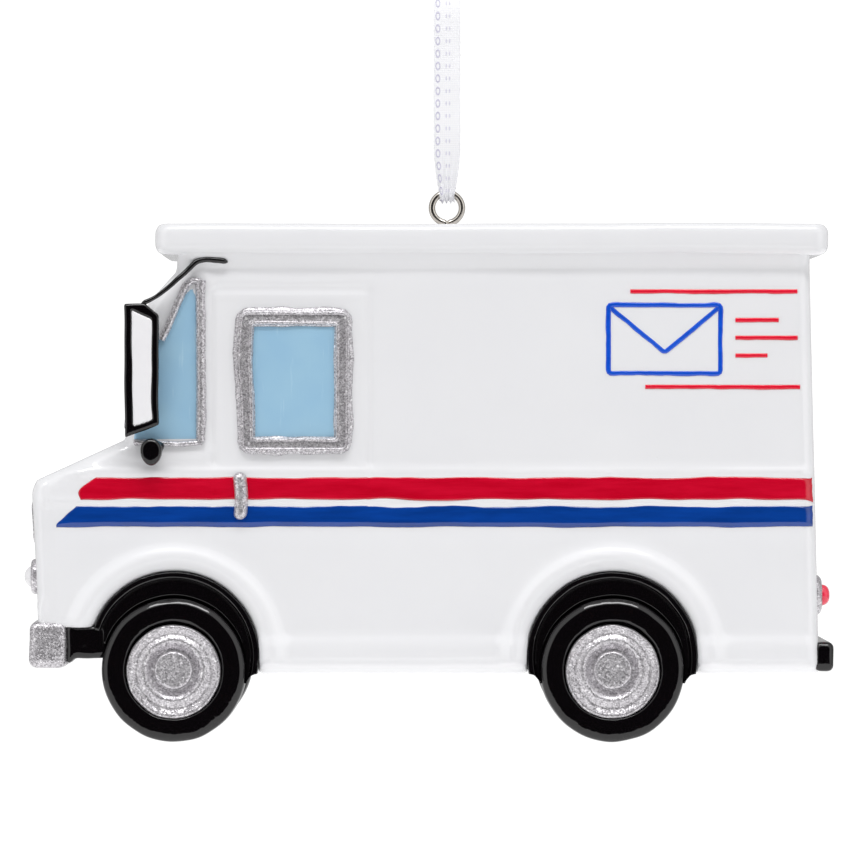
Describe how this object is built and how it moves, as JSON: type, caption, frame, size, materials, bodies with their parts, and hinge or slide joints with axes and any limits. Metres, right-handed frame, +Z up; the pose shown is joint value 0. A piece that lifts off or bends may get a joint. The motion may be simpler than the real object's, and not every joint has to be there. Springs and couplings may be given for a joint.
{
  "type": "hanging ornament",
  "caption": "Hanging ornament in the shape of a mail step van: hollow cast body, roof slab, bonded wheels, mirrors and lamps, a wire eye and a ribbon loop.",
  "frame": {"origin": "inside top of the ribbon loop, where a hook or twig holds the ornament up", "axes": "+Z up, -X towards the front of the van, -Y towards its left side; +X along its length and +Y across it"},
  "size_m": [0.1093, 0.037, 0.1104],
  "materials": {
    "white_enamel": "gloss enamel over cast resin",
    "gloss_black": "gloss black enamel",
    "glitter_silver": "silver glitter paint",
    "pane_blue": "satin blue enamel",
    "pale_grey": "gloss",
    "lens_red": "gloss",
    "plated_wire": "bright plated wire",
    "ribbon": "woven satin ribbon"
  },
  "bodies": {
    "hanger": {"ribbon_knot": "ribbon"},
    "ribbon": {"ribbon_loop": "ribbon"},
    "truck": {"body_casting": "white_enamel", "underside_plate": "white_enamel", "roof_cap": "white_enamel", "front_bumper": "glitter_silver", "rear_bumper": "gloss_black", "windscreen_frame": "glitter_silver", "windscreen_pane": "pane_blue", "grille": "glitter_silver", "front_left_arch": "gloss_black", "front_left_tyre": "gloss_black", "front_left_hubcap": "glitter_silver", "rear_left_arch": "gloss_black", "rear_left_tyre": "gloss_black", "rear_left_hubcap": "glitter_silver", "left_bumper_bracket": "gloss_black", "left_headlamp_bezel": "glitter_silver", "left_headlamp_lens": "pale_grey", "left_tail_lamp_bezel": "glitter_silver", "left_tail_lamp_lens": "lens_red", "left_door_window_frame": "glitter_silver", "left_door_window_pane": "pane_blue", "left_quarter_window_frame": "glitter_silver", "left_quarter_window_pane": "pane_blue", "left_door_handle": "glitter_silver", "left_mirror_frame": "gloss_black", "left_mirror_face": "pale_grey", "left_mirror_arm": "gloss_black", "left_mirror_knob": "gloss_black", "front_right_arch": "gloss_black", "front_right_tyre": "gloss_black", "front_right_hubcap": "glitter_silver", "rear_right_arch": "gloss_black", "rear_right_tyre": "gloss_black", "rear_right_hubcap": "glitter_silver", "right_bumper_bracket": "gloss_black", "right_headlamp_bezel": "glitter_silver", "right_headlamp_lens": "pale_grey", "right_tail_lamp_bezel": "glitter_silver", "right_tail_lamp_lens": "lens_red", "right_door_window_frame": "glitter_silver", "right_door_window_pane": "pane_blue", "right_quarter_window_frame": "glitter_silver", "right_quarter_window_pane": "pane_blue", "right_door_handle": "glitter_silver", "right_mirror_frame": "gloss_black", "right_mirror_face": "pale_grey", "right_mirror_arm": "gloss_black", "right_mirror_knob": "gloss_black", "wire_eye": "plated_wire"}
  },
  "joints": [
    {"name": "ribbon_twist", "type": "hinge", "parent": "hanger", "child": "ribbon", "pos_m": [0, 0, 0], "axis": [0, 0, 1], "range_deg": [-90, 90], "stiffness_Nm_per_rad": 0.0002},
    {"name": "swing", "type": "hinge", "parent": "ribbon", "child": "truck", "pos_m": [0, 0, -0.028], "axis": [1, 0, 0], "range_deg": [-60, 60]}
  ]
}
